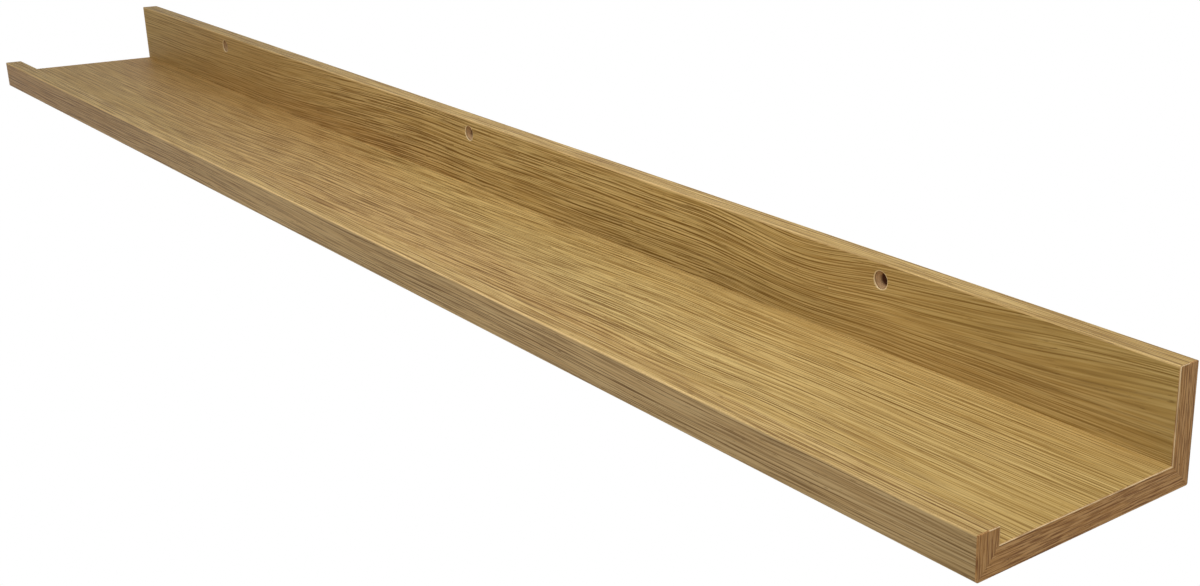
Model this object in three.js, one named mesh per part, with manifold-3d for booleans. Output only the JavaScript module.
// A floating wall shelf of the picture-ledge kind: an upright back board that is screwed to the wall,
// a shelf board and a low front lip, as one folded U. The board is fibreboard between two oak veneers.
// Two V grooves part its inner face and its core, and the boards then fold up on the outer veneer and
// meet in mitres. The flat board has its end edging before it is grooved, so that is mitred as well.
// Millimetres, +Z up. The origin is on the wall plane, at mid-length, level with the shelf's top face.
// X runs along the shelf, the wall is the plane Y = 0, and the front lip is on the -Y side.
import * as THREE from "three";
import { mergeVertices } from "three/addons/utils/BufferGeometryUtils.js";
import Module from "manifold-3d";

const wasm = await Module();
wasm.setup();

// Overall size of the finished shelf. Both heights are measured from the underside.
const LENGTH = 1150;
const DEPTH = 130;
const HEIGHT = 57;
const LIP_HEIGHT = 20;

// The board's thickness, veneers included, the veneer's, and the edging's on the cut edges.
const BOARD = 12;
const VENEER = 0.6;
const EDGING = 0.8;

// The eased arris of the cores that the outer veneer folds round, and the eased arrises of the edging.
const CORE_ARRIS = 0.5;
const EDGING_ARRIS = 0.6;

// Wall screw holes through the back board: a short counterbore, a countersink and the shank hole.
const HOLE_COUNT = 3;
const HOLE_INSET = 180;
const HOLE_DROP = 9;
const SHANK_DIAMETER = 6;
const MOUTH_DIAMETER = 9.4;
const COUNTERBORE_DEPTH = 1;
const COUNTERSINK_ANGLE = Math.PI / 2;

// How far a drilling runs past the faces that it cuts, and how finely the round stretches are faceted.
const OVERRUN = 2;
const HOLE_SEGMENTS = 40;
const CHORDS_PER_EIGHTH = 3;

const EIGHTH_TURN = Math.PI / 4;
const QUARTER_TURN = Math.PI / 2;
const HALF_TURN = Math.PI;

// Levels and depths of the folded section, seen from the +X end as (y, z), the wall on the right.
const UNDERSIDE = -BOARD;
const BACK_TOP = HEIGHT - BOARD;
const LIP_TOP = LIP_HEIGHT - BOARD;
const FRONT = -DEPTH;
const CARCASE_LENGTH = LENGTH - 2 * EDGING;
const FOLD_RADIUS = CORE_ARRIS + VENEER;
const TOP_ARRIS = Math.min(EDGING_ARRIS, EDGING);

// The layers of the board. from and to are depths below its outer face, and fold is the radius of the
// layer's outer corner at a fold.
const wholeBoard = { from: 0, to: BOARD, fold: FOLD_RADIUS };
const core = { from: VENEER, to: BOARD - VENEER, fold: CORE_ARRIS };
const innerFace = { from: BOARD - VENEER, to: BOARD, fold: 0 };

const oak = new THREE.MeshStandardMaterial({ color: 0xb18d55, roughness: 0.5, metalness: 0 });
const oakEdging = new THREE.MeshStandardMaterial({ color: 0x97724a, roughness: 0.55, metalness: 0 });
const fibreboard = new THREE.MeshStandardMaterial({ color: 0xc4a276, roughness: 0.9, metalness: 0 });

// A geometry as a solid that can be cut: only its positions are kept, with shared corners merged.
// The triangles that a lathe makes on its own axis have no area, so they are left out.
function solidOf(geometry) {
  const bare = geometry.clone();
  bare.deleteAttribute("normal");
  bare.deleteAttribute("uv");
  const merged = mergeVertices(bare);
  const corners = merged.index.array;
  const kept = [];
  for (let i = 0; i < corners.length; i += 3) {
    const [a, b, c] = corners.subarray(i, i + 3);
    if (a !== b && b !== c && c !== a) kept.push(a, b, c);
  }
  const vertProperties = merged.attributes.position.array;
  return new wasm.Manifold(new wasm.Mesh({ numProp: 3, vertProperties, triVerts: new Uint32Array(kept) }));
}

// A cut solid as a geometry again.
function geometryOf(solid) {
  const mesh = solid.getMesh();
  return new THREE.BufferGeometry()
    .setAttribute("position", new THREE.BufferAttribute(mesh.vertProperties, 3))
    .setIndex(new THREE.BufferAttribute(mesh.triVerts, 1))
    .toNonIndexed();
}

function piece(name, geometry, material) {
  geometry.computeVertexNormals();
  const mesh = new THREE.Mesh(geometry, material);
  mesh.name = name;
  return mesh;
}

// Extrudes a (y, z) outline along X from startX.
function extrudeAlongX(outline, startX, length) {
  const geometry = new THREE.ExtrudeGeometry(outline, { depth: length, bevelEnabled: false });
  const yAxis = new THREE.Vector3(0, 1, 0);
  const zAxis = new THREE.Vector3(0, 0, 1);
  const xAxis = new THREE.Vector3(1, 0, 0);
  geometry.applyMatrix4(new THREE.Matrix4().makeBasis(yAxis, zAxis, xAxis));
  return geometry.translate(startX, 0, 0);
}

function fullLength(outline) {
  return extrudeAlongX(outline, -CARCASE_LENGTH / 2, CARCASE_LENGTH);
}

// Adds a corner to an outline, as chords of an arc about (y, z). Every eighth of a turn has as many
// chords, so layers that lie round each other share their corners. With no radius the corner is sharp.
function addCorner(outline, y, z, radius, start, end) {
  if (radius === 0) {
    outline.lineTo(y, z);
    return;
  }
  const chords = Math.round((Math.abs(end - start) / EIGHTH_TURN) * CHORDS_PER_EIGHTH);
  for (let i = 0; i <= chords; i += 1) {
    const angle = start + ((end - start) * i) / chords;
    outline.lineTo(y + radius * Math.cos(angle), z + radius * Math.sin(angle));
  }
}

// A layer of the back board up to a level: from the mitre's inner end round the heel, then up and over.
function backOutline(layer, top, arris) {
  const heel = layer.from + layer.fold;
  const outline = new THREE.Shape();
  outline.moveTo(-layer.to, UNDERSIDE + layer.to);
  addCorner(outline, -heel, UNDERSIDE + heel, layer.fold, -EIGHTH_TURN, 0);
  addCorner(outline, -layer.from - arris, top - arris, arris, 0, QUARTER_TURN);
  addCorner(outline, -layer.to + arris, top - arris, arris, QUARTER_TURN, HALF_TURN);
  return outline;
}

// A layer of the shelf board, mitred along both long edges.
function shelfOutline(layer) {
  const heel = layer.from + layer.fold;
  const toeMitre = HALF_TURN + EIGHTH_TURN;
  const outline = new THREE.Shape();
  outline.moveTo(-layer.to, UNDERSIDE + layer.to);
  outline.lineTo(FRONT + layer.to, UNDERSIDE + layer.to);
  addCorner(outline, FRONT + heel, UNDERSIDE + heel, layer.fold, toeMitre, toeMitre + EIGHTH_TURN);
  addCorner(outline, -heel, UNDERSIDE + heel, layer.fold, -QUARTER_TURN, -EIGHTH_TURN);
  return outline;
}

// A layer of the front lip up to a level: from the mitre's inner end up and over, then down to the toe.
function lipOutline(layer, top, arris) {
  const toe = layer.from + layer.fold;
  const outline = new THREE.Shape();
  outline.moveTo(FRONT + layer.to, UNDERSIDE + layer.to);
  addCorner(outline, FRONT + layer.to - arris, top - arris, arris, 0, QUARTER_TURN);
  addCorner(outline, FRONT + layer.from + arris, top - arris, arris, QUARTER_TURN, HALF_TURN);
  addCorner(outline, FRONT + toe, UNDERSIDE + toe, layer.fold, HALF_TURN, HALF_TURN + EIGHTH_TURN);
  return outline;
}

// The outer veneer: down the rear, under the shelf and up the front of the lip, folded at both mitres.
function wrapOutline() {
  const heel = FOLD_RADIUS;
  const bottom = -QUARTER_TURN;
  const outline = new THREE.Shape();
  outline.moveTo(-VENEER, BACK_TOP - EDGING);
  addCorner(outline, -heel, UNDERSIDE + heel, CORE_ARRIS, 0, bottom);
  addCorner(outline, FRONT + heel, UNDERSIDE + heel, CORE_ARRIS, bottom, -HALF_TURN);
  outline.lineTo(FRONT + VENEER, LIP_TOP - EDGING);
  outline.lineTo(FRONT, LIP_TOP - EDGING);
  addCorner(outline, FRONT + heel, UNDERSIDE + heel, FOLD_RADIUS, -HALF_TURN, bottom);
  addCorner(outline, -heel, UNDERSIDE + heel, FOLD_RADIUS, bottom, 0);
  outline.lineTo(0, BACK_TOP - EDGING);
  return outline;
}

// Edging along the top of an upright board, from its front face to its rear one, with eased arrises.
function topEdgingOutline(front, rear, top) {
  const outline = new THREE.Shape();
  outline.moveTo(front, top - EDGING);
  outline.lineTo(rear, top - EDGING);
  addCorner(outline, rear - TOP_ARRIS, top - TOP_ARRIS, TOP_ARRIS, 0, QUARTER_TURN);
  addCorner(outline, front + TOP_ARRIS, top - TOP_ARRIS, TOP_ARRIS, QUARTER_TURN, HALF_TURN);
  return outline;
}

// One drilling, turned about Y: the mouth is on the board's front face, and the shank hole runs right
// through to the wall.
function drilling() {
  const shank = SHANK_DIAMETER / 2;
  const mouth = MOUTH_DIAMETER / 2;
  const coneStart = -BOARD + COUNTERBORE_DEPTH;
  const coneEnd = coneStart + (mouth - shank) / Math.tan(COUNTERSINK_ANGLE / 2);
  const profile = [
    new THREE.Vector2(0, -BOARD - OVERRUN),
    new THREE.Vector2(mouth, -BOARD - OVERRUN),
    new THREE.Vector2(mouth, coneStart),
    new THREE.Vector2(shank, coneEnd),
    new THREE.Vector2(shank, OVERRUN),
    new THREE.Vector2(0, OVERRUN),
  ];
  return new THREE.LatheGeometry(profile, HOLE_SEGMENTS);
}

// All the drillings as one cutter: the outer two are inset from the ends, and the rest evenly between.
function drillings() {
  const span = LENGTH - 2 * HOLE_INSET;
  const spacing = span / (HOLE_COUNT - 1);
  const holes = [];
  for (let i = 0; i < HOLE_COUNT; i += 1) {
    holes.push(solidOf(drilling().translate(i * spacing - span / 2, 0, BACK_TOP - HOLE_DROP)));
  }
  return holes.reduce((all, hole) => all.add(hole));
}

const screwHoles = drillings();

function drilled(geometry) {
  return geometryOf(solidOf(geometry).subtract(screwHoles));
}

// The folded board: three cores, the veneer that holds them together outside, and three inner faces.
function foldedBoard() {
  const backTop = BACK_TOP - EDGING;
  const lipTop = LIP_TOP - EDGING;
  const board = new THREE.Group();
  board.add(
    piece("back_core", drilled(fullLength(backOutline(core, backTop, 0))), fibreboard),
    piece("shelf_core", fullLength(shelfOutline(core)), fibreboard),
    piece("lip_core", fullLength(lipOutline(core, lipTop, 0)), fibreboard),
    piece("outer_veneer", drilled(fullLength(wrapOutline())), oak),
    piece("back_front_veneer", drilled(fullLength(backOutline(innerFace, backTop, 0))), oak),
    piece("shelf_top_veneer", fullLength(shelfOutline(innerFace)), oak),
    piece("lip_rear_veneer", fullLength(lipOutline(innerFace, lipTop, 0)), oak),
  );
  return board;
}

// The edging along the tops of the back board and the lip.
function topEdging() {
  const backCap = topEdgingOutline(-BOARD, 0, BACK_TOP);
  const lipCap = topEdgingOutline(FRONT, FRONT + BOARD, LIP_TOP);
  const edging = new THREE.Group();
  edging.add(
    piece("back_top_edging", fullLength(backCap), oakEdging),
    piece("lip_top_edging", fullLength(lipCap), oakEdging),
  );
  return edging;
}

// The edging of one end, in three mitred strips that cover the whole section.
function endEdging(side, startX) {
  const strips = {
    back: backOutline(wholeBoard, BACK_TOP, TOP_ARRIS),
    shelf: shelfOutline(wholeBoard),
    lip: lipOutline(wholeBoard, LIP_TOP, TOP_ARRIS),
  };
  const edging = new THREE.Group();
  for (const [board, outline] of Object.entries(strips)) {
    const strip = extrudeAlongX(outline, startX, EDGING);
    edging.add(piece(`${side}_end_edging_${board}`, strip, oakEdging));
  }
  return edging;
}

const wallShelf = new THREE.Group();
wallShelf.add(
  foldedBoard(),
  topEdging(),
  endEdging("left", -LENGTH / 2),
  endEdging("right", CARCASE_LENGTH / 2),
);

export default wallShelf;
